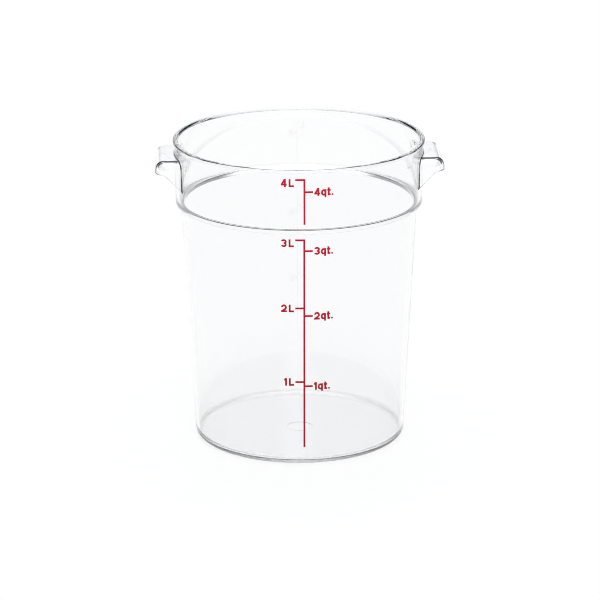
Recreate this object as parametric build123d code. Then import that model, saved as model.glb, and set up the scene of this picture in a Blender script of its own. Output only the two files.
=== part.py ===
from build123d import *
import math
import os

# A clear round container for proofing dough. A tapered tub widens at a stacking ledge into a
# collar with a beaded rim. A hollow grip stands out on each side of the collar, and a red
# scale in litres and quarts is printed on the front. Lengths are in millimetres and angles in
# degrees. The origin is the centre of the base, +Z is up, the grips point along +X and -X,
# and the scale faces -Y.

# The tub's outside
base_radius = 74.5
body_draft = 2.95
ledge_height = 171.3
ledge_step = 3.54
collar_height = 45.7
collar_draft = 0.66
bead_height = 2.4
bead_proud = 1.15
base_corner = 5.0
ledge_rounding = 1.0
bead_rounding = 1.1
crown_rounding = 0.9
# The most of the bead's depth, or of half its height, that a rounding takes up
bead_round_share = 0.96

# The tub's inside
wall = 2.5
collar_wall = 2.7
floor_thickness = 3.0
floor_corner = 3.5
shoulder_rise = 2.6
shoulder_rounding = 1.2
rim_rounding = 1.4
gate_radius = 9.3
gate_depth = 0.5

# The grips, each a thin shell that is open underneath
grip_width = 56.5
grip_projection = 13.6
grip_wall = 2.0
grip_drop = 9.9
grip_brow = 6.5
grip_corner = 8.0
lip_depth = 9.0
lip_land = 6.3
web_depth = 21.7

# The printed scale
ink_thickness = 0.15
line_width = 1.3
litre_tick = 5.55
quart_tick = 5.15
label_gap = 0.9
figure_height = 5.6
figure_width = 4.0
figure_stroke = 1.3
litre_spacing = 1.3
quart_spacing = 0.6
line_foot = 13.4
collar_line_foot = 7.3
# Each mark's height, as a share of the ledge's height on the body and of the collar's above it
litre_body_shares = (0.364, 0.682, 0.9714)
litre_collar_shares = (0.8509,)
quart_body_shares = (0.3454, 0.6488, 0.9253)
quart_collar_shares = (0.6623,)

# How the figures and letters are drawn, as shares of the figures' height or width
one_flag_share = 0.72
two_bowl_share = 0.28
four_bar_share = 0.3
four_stem_share = 0.86
letter_l_share = 0.9
letter_q_share = 0.92
letter_t_share = 0.58
small_letter_share = 0.8
descender_share = 0.2
# The turns of the rounded strokes, each from its first angle over its second
two_turn = (-35, 205)
three_upper_turn = (-90, 250)
three_lower_turn = (-160, 250)

cubic_mm_in_litre = 1e6
tub_height = ledge_height + collar_height
overrun = wall


def body_radius(height):
    return base_radius + height * math.tan(math.radians(body_draft))


def collar_radius(height):
    rise = height - ledge_height
    return body_radius(ledge_height) + ledge_step + rise * math.tan(math.radians(collar_draft))


rim_radius = collar_radius(tub_height) + bead_proud
most_round = bead_round_share * bead_height / 2
bead_round = min(bead_rounding, most_round, bead_round_share * bead_proud)
crown_round = min(crown_rounding, most_round)


def closed_outline(points, radii):
    """A flat face inside straight sides whose corners have these radii."""
    return make_face(FilletPolyline(*points, radius=radii, close=True))


def turned(points, radii):
    """The solid of revolution of an outline of radii and heights."""
    return revolve(Plane.XZ * closed_outline(points, radii), axis=Axis.Z)


def tub_outside():
    """The outside of the tub as one full body, with the round recess of the moulding gate."""
    bead_foot = tub_height - bead_height
    points = [
        (0, gate_depth),
        (gate_radius, gate_depth),
        (gate_radius, 0),
        (base_radius, 0),
        (body_radius(ledge_height), ledge_height),
        (collar_radius(ledge_height), ledge_height),
        (collar_radius(bead_foot), bead_foot),
        (rim_radius, bead_foot),
        (rim_radius, tub_height),
        (0, tub_height),
    ]
    radii = [0, 0, 0, base_corner, ledge_rounding, ledge_rounding, 0, bead_round, crown_round, 0]
    return turned(points, radii)


def tub_inside():
    """The space inside the tub, from the floor to above the rim."""
    inner_top = collar_radius(tub_height) - collar_wall
    shoulder = ledge_height + shoulder_rise
    points = [
        (0, floor_thickness),
        (body_radius(floor_thickness) - wall, floor_thickness),
        (body_radius(shoulder) - wall, shoulder),
        (collar_radius(shoulder) - collar_wall, shoulder),
        (inner_top, tub_height),
        (inner_top, tub_height + overrun),
        (0, tub_height + overrun),
    ]
    radii = [0, floor_corner, shoulder_rounding, shoulder_rounding, 0, 0, 0]
    return turned(points, radii)


outside = tub_outside()
inside = tub_inside()
tub = outside - inside
rim_edges = tub.edges().filter_by(GeomType.CIRCLE).filter_by(
    lambda edge: abs(edge.center().Z - tub_height) < rim_rounding
    and edge.radius < collar_radius(tub_height))
tub = fillet(rim_edges, rim_rounding)


def rounded_block(reach, half_width, top, corner, brow):
    """A block from the axis out to a reach, with round corners and a round edge along its top."""
    plan = closed_outline(
        [(0, -half_width), (reach, -half_width), (reach, half_width), (0, half_width)],
        [0, corner, corner, 0])
    block = extrude(plan, amount=top)
    brow_edges = block.faces().sort_by(Axis.Z)[-1].edges().filter_by(lambda edge: edge.center().X > 0)
    return fillet(brow_edges, brow)


def grip():
    """The grip on the +X side: a shell with a rounded brow all round, a lip and two side webs."""
    top = tub_height - grip_drop
    reach = collar_radius(top) + grip_projection
    half_width = grip_width / 2
    lip_bottom = top - lip_depth
    web_foot = top - web_depth
    foot_reach = math.sqrt(collar_radius(web_foot) ** 2 - half_width ** 2)

    block = rounded_block(reach, half_width, top, grip_corner, grip_brow)
    hollow = rounded_block(
        reach - grip_wall, half_width - grip_wall, top - grip_wall,
        max(grip_corner - grip_wall, 0), max(grip_brow - grip_wall, 0))
    side = closed_outline(
        [(0, top + overrun), (reach + overrun, top + overrun), (reach + overrun, lip_bottom),
         (reach - lip_land, lip_bottom), (foot_reach, web_foot), (0, web_foot)],
        [0, 0, 0, lip_land / 2, 0, 0])
    kept = extrude(Plane.XZ * side, amount=grip_width, both=True)
    return (block - hollow) & kept - outside


handle_right = grip()
handle_left = mirror(handle_right, about=Plane.YZ)


# Figures and letters, drawn as strokes from the lower left corner of their own box
def pen(path):
    return trace(path, line_width=figure_stroke)


def turn(centre, reach, height, angles):
    return EllipticalCenterArc(centre, reach, height, angles[0], arc_size=angles[1])


def bar(left, bottom, right, top):
    return Pos((left + right) / 2, (bottom + top) / 2) * Rectangle(right - left, top - bottom)


def trimmed(sketch, width):
    return sketch & bar(0, 0, width, figure_height)


def figure_one():
    width = figure_width / 2
    stem = bar(width - figure_stroke, 0, width, figure_height)
    flag_height = one_flag_share * figure_height
    flag = pen(Line((0, flag_height), (width - figure_stroke / 2, figure_height - figure_stroke / 3)))
    return trimmed(stem + flag, width), width


def figure_two():
    width = figure_width
    bowl_height = two_bowl_share * figure_height
    centre = (width / 2, figure_height - figure_stroke / 2 - bowl_height)
    reach = (width - figure_stroke) / 2
    bowl = turn(centre, reach, bowl_height, two_turn)
    slope = Line(bowl @ 0, (figure_stroke / 2, figure_stroke / 2))
    foot = bar(0, 0, width, figure_stroke)
    return trimmed(pen(bowl) + pen(slope) + foot, width), width


def figure_three():
    width = figure_width
    bowl_height = (figure_height - figure_stroke) / 4
    reach = (width - figure_stroke) / 2
    upper = (width / 2, figure_height - figure_stroke / 2 - bowl_height)
    lower = (width / 2, figure_stroke / 2 + bowl_height)
    bowls = pen(turn(upper, reach, bowl_height, three_upper_turn))
    bowls += pen(turn(lower, reach, bowl_height, three_lower_turn))
    return trimmed(bowls, width), width


def figure_four():
    width = figure_width
    bar_height = four_bar_share * figure_height
    stem_right = four_stem_share * width
    stem_middle = stem_right - figure_stroke / 2
    stem = bar(stem_right - figure_stroke, 0, stem_right, figure_height)
    cross = bar(0, bar_height - figure_stroke / 2, width, bar_height + figure_stroke / 2)
    slope = pen(Line((figure_stroke / 2, bar_height), (stem_middle, figure_height)))
    return trimmed(stem + cross + slope, width), width


def letter_l():
    width = letter_l_share * figure_width
    stem = bar(0, 0, figure_stroke, figure_height)
    return stem + bar(0, 0, width, figure_stroke), width


def letter_q():
    width = letter_q_share * figure_width
    body_height = small_letter_share * figure_height
    descender = descender_share * figure_height
    bowl = Ellipse(width / 2, body_height / 2)
    bowl -= Ellipse(width / 2 - figure_stroke, body_height / 2 - figure_stroke)
    stem = bar(width - figure_stroke, -descender, width, body_height)
    return Pos(width / 2, body_height / 2) * bowl + stem, width


def letter_t():
    width = letter_t_share * figure_width
    stem_left = (width - figure_stroke) / 3
    cross_top = small_letter_share * figure_height
    stem = bar(stem_left, 0, stem_left + figure_stroke, figure_height)
    cross = bar(0, cross_top - figure_stroke, width, cross_top)
    return stem + cross + bar(stem_left, 0, width, figure_stroke), width


def full_stop():
    width = figure_stroke
    return Pos(width / 2, width / 2) * Circle(width / 2), width


def label(glyphs, spacing):
    """Glyphs set side by side from the left, and the length of the row."""
    row = []
    length = 0
    for sketch, width in glyphs:
        row.append(Pos(length, 0) * sketch)
        length += width + spacing
    return row, length - spacing


def ink_layer(radius_at, bottom, top):
    """The thin layer of ink that lies on a stretch of the tub's wall, all the way round."""
    points = [
        (radius_at(bottom), bottom),
        (radius_at(bottom) + ink_thickness, bottom),
        (radius_at(top) + ink_thickness, top),
        (radius_at(top), top),
    ]
    return turned(points, [0, 0, 0, 0])


body_ink = ink_layer(body_radius, base_corner, ledge_height - ledge_rounding)
collar_ink = ink_layer(collar_radius, ledge_height + ledge_rounding, tub_height - bead_height)


def printed(sketch, height):
    """The ink of a flat drawing at a height of the front wall, on the body or the collar."""
    layer = collar_ink if height > ledge_height else body_ink
    stencil = extrude(Plane.XZ * (Pos(0, height) * sketch), amount=rim_radius)
    return (stencil & layer).solids()


def mark_heights(body_shares, collar_shares):
    heights = [share * ledge_height for share in body_shares]
    return heights + [ledge_height + share * collar_height for share in collar_shares]


litre_heights = mark_heights(litre_body_shares, litre_collar_shares)
quart_heights = mark_heights(quart_body_shares, quart_collar_shares)
figures = [figure_one(), figure_two(), figure_three(), figure_four()]

# The line on the body ends at the third litre mark, and the one on the collar at the fourth
corner_heights = (litre_heights[len(litre_body_shares) - 1], litre_heights[-1])


def scale_line(bottom, top):
    return printed(bar(-line_width / 2, 0, line_width / 2, top - bottom), bottom)


scale_line_lower = scale_line(line_foot, corner_heights[0] + line_width / 2)
scale_line_upper = scale_line(ledge_height + collar_line_foot, corner_heights[1] + line_width / 2)

litre_ticks = []
litre_figures = []
for height, figure in zip(litre_heights, figures):
    tick_end = -line_width / 2 - litre_tick
    litre_ticks += printed(bar(tick_end, -line_width / 2, -line_width / 2, line_width / 2), height)
    row, length = label([figure, letter_l()], litre_spacing)
    # A figure hangs from a mark at the top of a line and is centred on any other
    rise = line_width / 2 - figure_height if height in corner_heights else -figure_height / 2
    for glyph in row:
        litre_figures += printed(Pos(tick_end - label_gap - length, rise) * glyph, height)

quart_ticks = []
quart_figures = []
for height, figure in zip(quart_heights, figures):
    tick_end = line_width / 2 + quart_tick
    quart_ticks += printed(bar(line_width / 2, -line_width / 2, tick_end, line_width / 2), height)
    row, length = label([figure, letter_q(), letter_t(), full_stop()], quart_spacing)
    for glyph in row:
        quart_figures += printed(Pos(tick_end + label_gap, -figure_height / 2) * glyph, height)

nodes = {
    "tub": tub,
    "handle_left": handle_left,
    "handle_right": handle_right,
    "scale_line_lower": Compound(scale_line_lower),
    "scale_line_upper": Compound(scale_line_upper),
    "litre_ticks": Compound(litre_ticks),
    "quart_ticks": Compound(quart_ticks),
    "litre_figures": Compound(litre_figures),
    "quart_figures": Compound(quart_figures),
}

os.makedirs("parts", exist_ok=True)
for name, shape in nodes.items():
    export_step(shape, "parts/" + name + ".step")

# What the tub holds when it is filled to each mark
for unit, heights in (("litre", litre_heights), ("quart", quart_heights)):
    for count, height in enumerate(heights, start=1):
        fill = inside & (Pos(0, 0, height / 2) * Box(2 * rim_radius, 2 * rim_radius, height))
        print(unit, "mark", count, "at", round(height, 1), "mm holds", round(fill.volume / cubic_mm_in_litre, 3), "L")
print("outer width", round(2 * (collar_radius(tub_height - grip_drop) + grip_projection), 1))
print("rim diameter", round(2 * rim_radius, 1), "height", round(tub_height, 1))
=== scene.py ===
import bisect
import math
from collections import namedtuple

import bmesh
import bpy
from mathutils import Matrix, Vector


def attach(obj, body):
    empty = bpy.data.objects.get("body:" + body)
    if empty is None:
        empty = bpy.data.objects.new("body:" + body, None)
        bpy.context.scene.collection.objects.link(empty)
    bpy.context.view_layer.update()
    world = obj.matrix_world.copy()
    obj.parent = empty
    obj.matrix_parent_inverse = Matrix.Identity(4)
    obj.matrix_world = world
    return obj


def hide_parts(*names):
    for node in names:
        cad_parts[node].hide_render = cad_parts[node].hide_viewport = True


# The looks of a clear round container for proofing dough. Lengths are in metres, in the frame
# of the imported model. The tub and its two grips are one clear moulding here, so that no inner
# face shows in the plastic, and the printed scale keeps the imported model's own solids.

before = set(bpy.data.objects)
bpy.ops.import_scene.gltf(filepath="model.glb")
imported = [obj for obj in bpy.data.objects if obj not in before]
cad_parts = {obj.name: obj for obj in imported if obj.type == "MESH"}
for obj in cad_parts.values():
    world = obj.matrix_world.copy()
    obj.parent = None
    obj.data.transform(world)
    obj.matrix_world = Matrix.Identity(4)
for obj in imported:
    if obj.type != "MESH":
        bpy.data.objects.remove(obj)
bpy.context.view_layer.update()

MM = 0.001

# The tub's outside and inside, as in the part's source. Only the crown is 0.2 mm rounder.
BASE_RADIUS = 74.5 * MM
BODY_DRAFT = math.radians(2.95)
LEDGE_HEIGHT = 171.3 * MM
LEDGE_STEP = 3.54 * MM
COLLAR_HEIGHT = 45.7 * MM
COLLAR_DRAFT = math.radians(0.66)
BEAD_HEIGHT = 2.4 * MM
BEAD_PROUD = 1.15 * MM
BASE_CORNER = 5.0 * MM
LEDGE_ROUNDING = 1.0 * MM
BEAD_ROUNDING = 1.1 * MM
CROWN_ROUNDING = 1.1 * MM
WALL = 2.5 * MM
COLLAR_WALL = 2.7 * MM
FLOOR_THICKNESS = 3.0 * MM
FLOOR_CORNER = 3.5 * MM
SHOULDER_RISE = 2.6 * MM
SHOULDER_ROUNDING = 1.2 * MM
GATE_RADIUS = 9.3 * MM
GATE_DEPTH = 0.5 * MM
RIM_ROUNDING = 1.4 * MM
TUB_HEIGHT = LEDGE_HEIGHT + COLLAR_HEIGHT

# The grips, as in the part's source. The last two, which round the lower edges and the root
# at the collar, are only here.
GRIP_WIDTH = 56.5 * MM
GRIP_PROJECTION = 13.6 * MM
GRIP_WALL = 2.0 * MM
GRIP_DROP = 9.9 * MM
GRIP_BROW = 6.5 * MM
GRIP_CORNER = 8.0 * MM
LIP_DEPTH = 9.0 * MM
LIP_LAND = 6.3 * MM
WEB_DEPTH = 21.7 * MM
GRIP_FOOT_EDGE = 0.4 * MM
GRIP_ROOT = 0.8 * MM

# How finely curves are drawn
TURNS = 288
ARC_STEP = math.radians(9)
WEB_STEPS = 8
CORNER_STEPS = 12
ACROSS_STEPS = 28
BROW_STEPS = 12
EDGE_STEPS = 4

# Extra points keep the shading true: close to each end of a long run, and along a grip's root,
# whose rows start inside the collar's wall
HOLD = 0.4 * MM
LONG_RUN = 6 * HOLD
GRIP_OVERLAP = 1.2 * MM
ROOT_SHARES = (0, 0.04, 0.16, 0.35, 0.62)

# Smaller than any real size or turn in the mesh
WELD = 1e-7
ON_AXIS = 1e-9
STRAIGHT = 1e-6

# Edges that bend by more than this stay crisp, and large faces lead the shading of the others
CREASE = math.radians(32)
FACE_WEIGHT = 90

# Clear polycarbonate, with faint handling marks and the slow waves of a moulded wall
PLASTIC_COLOUR = (0.978, 0.979, 0.981, 1)
PLASTIC_IOR = 1.585
ABSORPTION_COLOUR = (0.48, 0.54, 0.58, 1)
ABSORPTION_DENSITY = 3
MARKS_SCALE = 160
MARKS_DETAIL = 5
MARKS_RANGE = (0.35, 0.75)
MARKS_ROUGHNESS = 0.05
WAVES_SCALE = 38
WAVES_DETAIL = 2
WAVES_STRENGTH = 0.35
WAVES_HEIGHT = 0.06 * MM

# The outer edge of the foot, which is less polished than the walls
FOOT_RADII = (70 * MM, 73 * MM)
FOOT_HEIGHTS = (2 * MM, 6 * MM)
FOOT_ROUGHNESS = 0.35
FOOT_CLEARNESS = 0.85

# Printed ink, a little darker towards the foot of the scale
INK_DARK = (0.60, 0.008, 0.026, 1)
INK_BRIGHT = (0.70, 0.012, 0.036, 1)
INK_IOR = 1.5
INK_SPECULAR = 0.15
INK_ROUGHNESS = (0.38, 0.6)
INK_HEIGHTS = (20 * MM, 200 * MM)
INK_BRIGHTNESS = (0.66, 1.08)
GRAIN_SCALE = 900
GRAIN_DETAIL = 4
GRAIN_RANGE = (0.3, 0.7)
GRAIN_STRENGTH = 0.3
GRAIN_HEIGHT = 0.03 * MM

# The floor lies just under the base, so that the two faces don't touch
FLOOR_RADIUS = 9.0
FLOOR_SIDES = 96
FLOOR_GAP = 0.15 * MM
FLOOR_COLOUR = (0.24, 0.24, 0.24, 1)
FLOOR_GLOW = 0.75
FLOOR_ROUGHNESS = 0.9
WHITE = (1, 1, 1, 1)

# The studio's light by direction, whose X runs to the side and Z runs up, both 1 at most
FRONT_LIGHT = (0.9, 0.92, 0.95, 1)
SIDE_LIGHT = (0.005, 0.026, 0.046, 1)
SIDES_RANGE = (0.12, 0.38)
HORIZON_LIGHT = (1.02, 1.02, 1.02, 1)
HORIZON_RANGE = (0.045, 0.10)
TOP_LIGHT = (2.92, 2.92, 2.92, 1)
TOP_RANGE = (0.77, 0.875)

PRINT_NODES = (
    "scale_line_lower",
    "scale_line_upper",
    "litre_ticks",
    "quart_ticks",
    "litre_figures",
    "quart_figures",
)

# A row across a grip's flat top. Its value is a place in X for the kind "at", a distance from
# the collar's face for "off", and for "web" a share of the way from the root to the bend.
Row = namedtuple("Row", "kind value half normal")


def body_radius(height):
    return BASE_RADIUS + height * math.tan(BODY_DRAFT)


def collar_radius(height):
    rise = height - LEDGE_HEIGHT
    return body_radius(LEDGE_HEIGHT) + LEDGE_STEP + rise * math.tan(COLLAR_DRAFT)


def rounded(points, radii):
    """An open line through points, with each inner corner rounded to its radius."""
    line = [Vector(points[0])]
    for before, corner, after, radius in zip(points, points[1:], points[2:], radii[1:-1]):
        corner = Vector(corner)
        back = (Vector(before) - corner).normalized()
        on = (Vector(after) - corner).normalized()
        turn = math.pi - back.angle(on)
        if radius <= 0 or turn < STRAIGHT:
            line.append(corner)
            continue
        reach = radius * math.tan(turn / 2)
        centre = corner + (back + on).normalized() * (radius / math.cos(turn / 2))
        start = corner + back * reach - centre
        count = max(2, math.ceil(turn / ARC_STEP))
        side = -1 if back.x * on.y - back.y * on.x > 0 else 1
        for k in range(count + 1):
            angle = side * turn * k / count
            cos, sin = math.cos(angle), math.sin(angle)
            arm = Vector((start.x * cos - start.y * sin, start.x * sin + start.y * cos))
            line.append(centre + arm)
    line.append(Vector(points[-1]))
    return line


def held(line):
    """The line with a point added close to each end of its long runs."""
    full = [line[0]]
    for a, b in zip(line, line[1:]):
        run = (b - a).length
        if run > LONG_RUN:
            full += [a.lerp(b, HOLD / run), a.lerp(b, 1 - HOLD / run)]
        full.append(b)
    return full


def tub_profile():
    """Radii and heights from the gate recess out, up, over the rim and down to the floor."""
    bead_foot = TUB_HEIGHT - BEAD_HEIGHT
    rim = collar_radius(TUB_HEIGHT) + BEAD_PROUD
    inner_top = collar_radius(TUB_HEIGHT) - COLLAR_WALL
    shoulder = LEDGE_HEIGHT + SHOULDER_RISE
    corners = [
        ((0, GATE_DEPTH), 0),
        ((GATE_RADIUS, GATE_DEPTH), 0),
        ((GATE_RADIUS, 0), 0),
        ((BASE_RADIUS, 0), BASE_CORNER),
        ((body_radius(LEDGE_HEIGHT), LEDGE_HEIGHT), LEDGE_ROUNDING),
        ((collar_radius(LEDGE_HEIGHT), LEDGE_HEIGHT), LEDGE_ROUNDING),
        ((collar_radius(bead_foot), bead_foot), 0),
        ((rim, bead_foot), BEAD_ROUNDING),
        ((rim, TUB_HEIGHT), CROWN_ROUNDING),
        ((inner_top, TUB_HEIGHT), RIM_ROUNDING),
        ((collar_radius(shoulder) - COLLAR_WALL, shoulder), SHOULDER_ROUNDING),
        ((body_radius(shoulder) - WALL, shoulder), SHOULDER_ROUNDING),
        ((body_radius(FLOOR_THICKNESS) - WALL, FLOOR_THICKNESS), FLOOR_CORNER),
        ((0, FLOOR_THICKNESS), 0),
    ]
    return held(rounded([point for point, radius in corners], [radius for point, radius in corners]))


def mesh_object(name, bm):
    bmesh.ops.remove_doubles(bm, verts=bm.verts, dist=WELD)
    bmesh.ops.recalc_face_normals(bm, faces=bm.faces)
    mesh = bpy.data.meshes.new(name)
    bm.to_mesh(mesh)
    bm.free()
    obj = bpy.data.objects.new(name, mesh)
    bpy.context.scene.collection.objects.link(obj)
    return obj


def turned(name, line):
    """The solid of revolution of a line that starts and ends on the axis."""
    bm = bmesh.new()
    angles = [2 * math.pi * k / TURNS for k in range(TURNS)]
    rings = []
    for point in line:
        if point.x < ON_AXIS:
            rings.append([bm.verts.new((0, 0, point.y))] * TURNS)
            continue
        places = [(point.x * math.cos(a), point.x * math.sin(a), point.y) for a in angles]
        rings.append([bm.verts.new(place) for place in places])
    for low, high in zip(rings, rings[1:]):
        for k in range(TURNS):
            n = (k + 1) % TURNS
            corners = [low[k], low[n], high[n], high[k]]
            bm.faces.new(list(dict.fromkeys(corners)))
    return mesh_object(name, bm)


def strip(bm, lines):
    """Fills the space between each line of vertices and the next with faces."""
    for a, b in zip(lines, lines[1:]):
        for k in range(len(a) - 1):
            bm.faces.new([a[k], a[k + 1], b[k + 1], b[k]])


def grip_foot_line():
    """The lower edge of a grip from the side: up along the webs, then level under the lip."""
    top = TUB_HEIGHT - GRIP_DROP
    reach = collar_radius(top) + GRIP_PROJECTION
    web_foot = top - WEB_DEPTH
    foot_reach = math.sqrt(collar_radius(web_foot) ** 2 - (GRIP_WIDTH / 2) ** 2)
    slope = (WEB_DEPTH - LIP_DEPTH) / (reach - LIP_LAND - foot_reach)
    overrun = 8 * MM
    corners = [
        (foot_reach - overrun, web_foot - overrun * slope),
        (reach - LIP_LAND, top - LIP_DEPTH),
        (reach + overrun, top - LIP_DEPTH),
    ]
    return rounded(corners, [0, LIP_LAND / 2, 0])


class Shell:
    """One skin of a grip: a flat top, a round brow on its three free sides and a wall below."""

    def __init__(self, bm, side_x, foot_line, inset, root, outward):
        self.bm = bm
        self.side_x = side_x
        self.foot_line = foot_line
        self.root = root
        self.outward = outward
        self.top = TUB_HEIGHT - GRIP_DROP - inset
        self.brow = GRIP_BROW - inset
        self.bend = collar_radius(TUB_HEIGHT - GRIP_DROP) + GRIP_PROJECTION - GRIP_CORNER
        self.corner = GRIP_CORNER - GRIP_BROW
        self.half = GRIP_WIDTH / 2 - GRIP_BROW

    def vert(self, point):
        return self.bm.verts.new((self.side_x * point.x, point.y, point.z))

    def rows(self):
        """Rows across the flat top from inside the collar's wall out, with their ends' normals."""
        sideways = Vector((0, 1, 0))
        steps = [-GRIP_OVERLAP] + [share * GRIP_ROOT for share in ROOT_SHARES]
        found = [Row("off", step, self.half, sideways) for step in steps]
        found += [Row("web", k / WEB_STEPS, self.half, sideways) for k in range(WEB_STEPS)]
        for k in range(CORNER_STEPS + 1):
            a = math.pi / 2 * k / CORNER_STEPS
            x = self.bend + self.corner * math.sin(a)
            half = self.half - self.corner * (1 - math.cos(a))
            found.append(Row("at", x, half, Vector((math.sin(a), math.cos(a), 0))))
        return found

    def point(self, row, y, z, way):
        """A point of a row that faces a way, moved out where the skin flares into the collar."""
        face = math.sqrt(collar_radius(z) ** 2 - y ** 2)
        if row.kind == "at":
            x = row.value
        elif row.kind == "off":
            x = face + row.value
        else:
            x = face + GRIP_ROOT + (self.bend - face - GRIP_ROOT) * row.value
        near = min(max(x - face, 0), GRIP_ROOT) / GRIP_ROOT
        flare = self.root * (1 - math.sqrt(1 - (1 - near) ** 2))
        return Vector((x, y, z)) + way * flare

    def fall(self, row, y, normal):
        """The brow's round edge from the flat top down to the wall."""
        arc = []
        for k in range(1, BROW_STEPS + 1):
            a = math.pi / 2 * k / BROW_STEPS
            out, down = self.brow * math.sin(a), self.brow * (1 - math.cos(a))
            way = Vector((0, normal.y * math.sin(a), math.cos(a)))
            point = self.point(row, y + normal.y * out, self.top - down, way)
            point.x += normal.x * out
            arc.append(point)
        return arc

    def foot(self, x):
        """The height of the lower edge under a point."""
        xs = [p.x for p in self.foot_line]
        k = min(max(bisect.bisect_left(xs, x), 1), len(xs) - 1)
        a, b = self.foot_line[k - 1], self.foot_line[k]
        return a.y + (b.y - a.y) * (x - a.x) / (b.x - a.x)

    def stations(self, grid, rows):
        """Places along the three free sides: the top's vertex, its row, its Y and the normal."""
        ends = list(zip(grid, rows))
        last = rows[-1]
        found = []
        for line, row in ends:
            found.append((line[0], row, -row.half, Vector((row.normal.x, -row.normal.y, 0))))
        for k in range(1, ACROSS_STEPS):
            y = last.half * (2 * k / ACROSS_STEPS - 1)
            found.append((grid[-1][k], last, y, Vector((1, 0, 0))))
        for line, row in reversed(ends):
            found.append((line[-1], row, row.half, row.normal))
        return found

    def side_line(self, vertex, row, y, normal):
        """Vertices from the top over the brow, down the wall and round half of its foot."""
        arc = self.fall(row, y, normal)
        line = [vertex] + [self.vert(point) for point in arc]
        for k in range(EDGE_STEPS + 1):
            a = math.pi / 2 * k / EDGE_STEPS
            point = arc[-1] - normal * (self.outward * GRIP_FOOT_EDGE * (1 - math.cos(a)))
            point.z = self.foot(point.x) + GRIP_FOOT_EDGE * (1 - math.sin(a))
            line.append(self.vert(point))
        return line

    def build(self):
        """Adds the skin to the mesh. Returns the rows of its top and the lines of its sides."""
        rows = self.rows()
        grid = []
        for row in rows:
            ys = [row.half * (2 * k / ACROSS_STEPS - 1) for k in range(ACROSS_STEPS + 1)]
            grid.append([self.vert(self.point(row, y, self.top, Vector((0, 0, 1)))) for y in ys])
        strip(self.bm, grid)
        lines = [self.side_line(*station) for station in self.stations(grid, rows)]
        strip(self.bm, lines)
        return grid, lines


def grip(name, side_x):
    """A grip on one side: a shelf with a rounded brow, a lip and two webs, open underneath."""
    bm = bmesh.new()
    foot_line = grip_foot_line()
    top_a, lines_a = Shell(bm, side_x, foot_line, 0, GRIP_ROOT, 1).build()
    top_b, lines_b = Shell(bm, side_x, foot_line, GRIP_WALL, 0, -1).build()

    # The middle of the foot, and the end that lies inside the collar's wall
    strip(bm, [[a[-1], b[-1]] for a, b in zip(lines_a, lines_b)])
    end = top_a[0] + lines_a[-1][1:] + lines_b[-1][::-1] + top_b[0][-2:0:-1] + lines_b[0]
    end += lines_a[0][:0:-1]
    bm.faces.new(end)
    return mesh_object(name, bm)


def joined(base, others):
    """Gives base the union of its own closed mesh and the others', and removes the others."""
    for other in others:
        union = base.modifiers.new("union", "BOOLEAN")
        union.operation = "UNION"
        union.solver = "EXACT"
        union.object = other
    graph = bpy.context.evaluated_depsgraph_get()
    mesh = bpy.data.meshes.new_from_object(base.evaluated_get(graph))
    base.modifiers.clear()
    base.data = mesh
    for other in others:
        bpy.data.objects.remove(other)


def shade(obj):
    """Smooth shading that follows the large faces and stays crisp at sharp edges."""
    for face in obj.data.polygons:
        face.use_smooth = True
    obj.data.set_sharp_from_angle(angle=CREASE)
    weighted = obj.modifiers.new("weighted", "WEIGHTED_NORMAL")
    weighted.keep_sharp = True
    weighted.weight = FACE_WEIGHT


def empty_tree(owner):
    """The node tree of a material or world, without nodes."""
    owner.use_nodes = True
    owner.node_tree.nodes.clear()
    return owner.node_tree


def add_node(tree, kind, inputs=None, **settings):
    """A new node. Each of its inputs is a plain value or the output that feeds it."""
    node = tree.nodes.new(kind)
    for name, value in settings.items():
        setattr(node, name, value)
    for name, value in (inputs or {}).items():
        if isinstance(value, bpy.types.NodeSocket):
            tree.links.new(value, node.inputs[name])
        else:
            node.inputs[name].default_value = value
    return node


def noise(tree, place, scale, detail):
    values = {"Vector": place, "Scale": scale, "Detail": detail}
    return add_node(tree, "ShaderNodeTexNoise", values).outputs["Fac"]


def mapped(tree, value, before=(0, 1), after=(0, 1)):
    """The value moved from one range to another, and held at its ends."""
    values = {"Value": value}
    values["From Min"], values["From Max"] = before
    values["To Min"], values["To Max"] = after
    return add_node(tree, "ShaderNodeMapRange", values).outputs["Result"]


def ramp(tree, value, ends, colours, interpolation="LINEAR"):
    """A colour that goes from one to the other as the value goes from end to end."""
    node = add_node(tree, "ShaderNodeValToRGB", {"Fac": value})
    node.color_ramp.interpolation = interpolation
    for element, position, colour in zip(node.color_ramp.elements, ends, colours):
        element.position = position
        element.color = colour
    return node.outputs["Color"]


def bumps(tree, height, strength, distance):
    values = {"Height": height, "Strength": strength, "Distance": distance}
    return add_node(tree, "ShaderNodeBump", values).outputs["Normal"]


def foot_edge(tree, place):
    """1 on the outer edge of the foot, and 0 on the floor inside it and on the wall above."""
    away = add_node(tree, "ShaderNodeSeparateXYZ", {"Vector": place}).outputs
    flat = add_node(tree, "ShaderNodeCombineXYZ", {"X": away["X"], "Y": away["Y"]}).outputs["Vector"]
    radius = add_node(tree, "ShaderNodeVectorMath", {0: flat}, operation="LENGTH").outputs["Value"]
    outside = mapped(tree, radius, FOOT_RADII)
    low_down = mapped(tree, away["Z"], FOOT_HEIGHTS, (1, 0))
    edge = add_node(tree, "ShaderNodeMath", {0: outside, 1: low_down}, operation="MULTIPLY")
    return edge.outputs["Value"]


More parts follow.
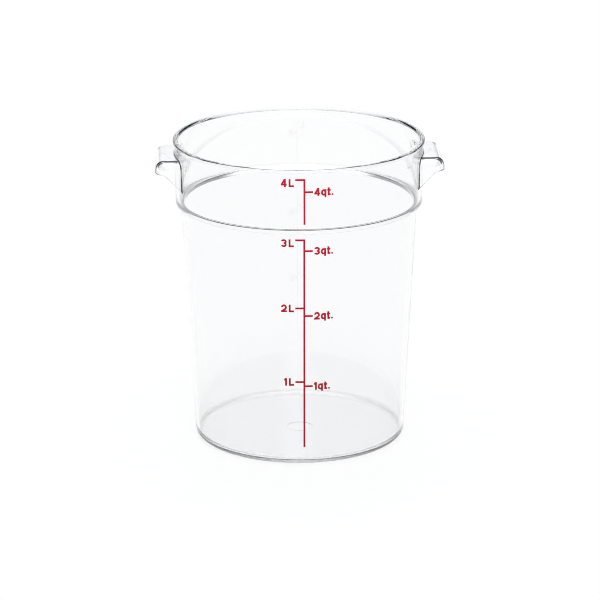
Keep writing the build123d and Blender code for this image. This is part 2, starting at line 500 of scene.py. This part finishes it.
def clear_plastic():
    material = bpy.data.materials.new("clear_polycarbonate")
    tree = empty_tree(material)
    place = add_node(tree, "ShaderNodeTexCoord").outputs["Object"]
    marks = noise(tree, place, MARKS_SCALE, MARKS_DETAIL)
    polish = mapped(tree, marks, MARKS_RANGE, (0, MARKS_ROUGHNESS))
    edge = foot_edge(tree, place)
    frost = {0: edge, 1: FOOT_ROUGHNESS, 2: polish}
    waves = noise(tree, place, WAVES_SCALE, WAVES_DETAIL)
    shader = add_node(tree, "ShaderNodeBsdfPrincipled", {
        "Base Color": PLASTIC_COLOUR,
        "IOR": PLASTIC_IOR,
        "Roughness": add_node(tree, "ShaderNodeMath", frost, operation="MULTIPLY_ADD").outputs["Value"],
        "Transmission Weight": mapped(tree, edge, after=(1, FOOT_CLEARNESS)),
        "Normal": bumps(tree, waves, WAVES_STRENGTH, WAVES_HEIGHT),
    })
    volume = add_node(tree, "ShaderNodeVolumeAbsorption", {
        "Color": ABSORPTION_COLOUR,
        "Density": ABSORPTION_DENSITY,
    })
    surfaces = {"Surface": shader.outputs["BSDF"], "Volume": volume.outputs["Volume"]}
    add_node(tree, "ShaderNodeOutputMaterial", surfaces)
    return material


def red_ink():
    material = bpy.data.materials.new("screen_printed_ink")
    tree = empty_tree(material)
    place = add_node(tree, "ShaderNodeTexCoord").outputs["Object"]
    grain = noise(tree, place, GRAIN_SCALE, GRAIN_DETAIL)
    tint = ramp(tree, grain, GRAIN_RANGE, (INK_DARK, INK_BRIGHT))
    height = add_node(tree, "ShaderNodeSeparateXYZ", {"Vector": place}).outputs["Z"]
    brightness = mapped(tree, height, INK_HEIGHTS, INK_BRIGHTNESS)
    shaded = {"Vector": tint, "Scale": brightness}
    shader = add_node(tree, "ShaderNodeBsdfPrincipled", {
        "Base Color": add_node(tree, "ShaderNodeVectorMath", shaded, operation="SCALE").outputs["Vector"],
        "IOR": INK_IOR,
        "Specular IOR Level": INK_SPECULAR,
        "Roughness": mapped(tree, grain, after=INK_ROUGHNESS),
        "Normal": bumps(tree, grain, GRAIN_STRENGTH, GRAIN_HEIGHT),
    })
    add_node(tree, "ShaderNodeOutputMaterial", {"Surface": shader.outputs["BSDF"]})
    return material


def floor_paint():
    material = bpy.data.materials.new("pale_floor")
    tree = empty_tree(material)
    shader = add_node(tree, "ShaderNodeBsdfPrincipled", {
        "Base Color": FLOOR_COLOUR,
        "Emission Color": WHITE,
        "Emission Strength": FLOOR_GLOW,
        "Roughness": FLOOR_ROUGHNESS,
        "Specular IOR Level": 0,
    })
    add_node(tree, "ShaderNodeOutputMaterial", {"Surface": shader.outputs["BSDF"]})
    return material


def floor():
    bm = bmesh.new()
    bmesh.ops.create_circle(bm, cap_ends=True, segments=FLOOR_SIDES, radius=FLOOR_RADIUS)
    for vertex in bm.verts:
        vertex.co.z = -FLOOR_GAP
    obj = mesh_object("floor", bm)
    if obj.data.polygons[0].normal.z < 0:
        obj.data.flip_normals()
    obj.data.materials.append(floor_paint())


def studio_world():
    """Soft white light from above, in front and behind, with dim sides above eye level."""
    world = bpy.data.worlds.new("studio")
    tree = empty_tree(world)
    place = add_node(tree, "ShaderNodeTexCoord").outputs["Generated"]
    parts = add_node(tree, "ShaderNodeSeparateXYZ", {"Vector": place}).outputs
    side = add_node(tree, "ShaderNodeMath", {0: parts["X"]}, operation="ABSOLUTE").outputs["Value"]
    walls = ramp(tree, side, SIDES_RANGE, (FRONT_LIGHT, SIDE_LIGHT), "EASE")
    above = mapped(tree, parts["Z"], HORIZON_RANGE)
    lower = {"Factor": above, "A": HORIZON_LIGHT, "B": walls}
    around = add_node(tree, "ShaderNodeMix", lower, data_type="RGBA").outputs["Result"]
    overhead = mapped(tree, parts["Z"], TOP_RANGE)
    upper = {"Factor": overhead, "A": around, "B": TOP_LIGHT}
    light = add_node(tree, "ShaderNodeMix", upper, data_type="RGBA").outputs["Result"]
    back = add_node(tree, "ShaderNodeBackground", {"Color": light})
    add_node(tree, "ShaderNodeOutputWorld", {"Surface": back.outputs["Background"]})
    bpy.context.scene.world = world


def camera():
    """The photograph's camera, fitted to the rim, ledge, base and sides of the tub."""
    frame_width = 600
    focal_pixels = 3264.3
    distance = 2215.3 * MM
    height = 803.4 * MM
    round_tub = math.radians(2.45)
    pitch = math.radians(17.68)
    yaw = math.radians(0.013)
    roll = math.radians(-0.197)

    forward = Vector((math.sin(yaw) * math.cos(pitch), math.cos(yaw) * math.cos(pitch), -math.sin(pitch)))
    right = forward.cross(Vector((0, 0, 1))).normalized()
    up = right.cross(forward)
    turned_right = right * math.cos(roll) + up * math.sin(roll)
    turned_up = up * math.cos(roll) - right * math.sin(roll)
    spin = Matrix.Rotation(-round_tub, 3, "Z")
    axes = [spin @ v for v in (turned_right, turned_up, -forward)]
    place = spin @ Vector((0, -distance, height))

    data = bpy.data.cameras.new("camera")
    data.sensor_width = 36
    data.lens = data.sensor_width * focal_pixels / frame_width
    data.clip_start = 0.05
    data.clip_end = 50
    data.dof.use_dof = False
    obj = bpy.data.objects.new("camera", data)
    obj.matrix_world = Matrix.Translation(place) @ Matrix(axes).transposed().to_4x4()
    bpy.context.scene.collection.objects.link(obj)
    bpy.context.scene.camera = obj


def picture_settings():
    """Plain colours, crisp lines, and enough light paths to see through many skins of plastic."""
    scene = bpy.context.scene
    scene.view_settings.view_transform = "Standard"
    scene.view_settings.look = "None"
    scene.cycles.max_bounces = 24
    scene.cycles.transmission_bounces = 24
    scene.cycles.glossy_bounces = 16
    scene.cycles.diffuse_bounces = 4
    scene.cycles.caustics_refractive = True
    scene.cycles.caustics_reflective = True
    scene.cycles.blur_glossy = 0.3
    scene.cycles.sample_clamp_indirect = 6
    scene.cycles.filter_width = 1.0


picture_settings()
camera()
studio_world()
floor()

moulding = turned("clear_moulding", tub_profile())
joined(moulding, [grip("grip_left", -1), grip("grip_right", 1)])
shade(moulding)
moulding.data.materials.clear()
moulding.data.materials.append(clear_plastic())
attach(moulding, "root")
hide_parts("tub", "handle_left", "handle_right")

ink = red_ink()
for name in PRINT_NODES:
    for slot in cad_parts[name].material_slots:
        slot.material = ink
